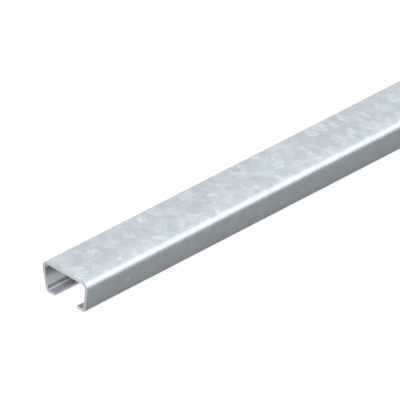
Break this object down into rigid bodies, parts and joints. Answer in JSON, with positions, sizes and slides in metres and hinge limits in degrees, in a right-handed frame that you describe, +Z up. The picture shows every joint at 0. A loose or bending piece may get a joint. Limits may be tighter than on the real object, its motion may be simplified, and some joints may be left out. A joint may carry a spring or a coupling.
{
  "type": "anchor channel",
  "caption": "Straight length of galvanised steel C-channel: plain flat web, rounded bends, side walls leaning in to two short lips, and an open slot between them for channel nuts.",
  "frame": {"origin": "on the floor under the middle of the length, midway between the lips", "axes": "+Y along the channel, +X across the slot, +Z up from the lips to the web"},
  "size_m": [0.035, 0.5, 0.019],
  "materials": {
    "galvanised_steel": "strip galvanised, soft blue-grey zinc spangle, bare steel at the sheared ends"
  },
  "bodies": {
    "root": {"anchor_channel": "galvanised_steel"}
  },
  "joints": []
}
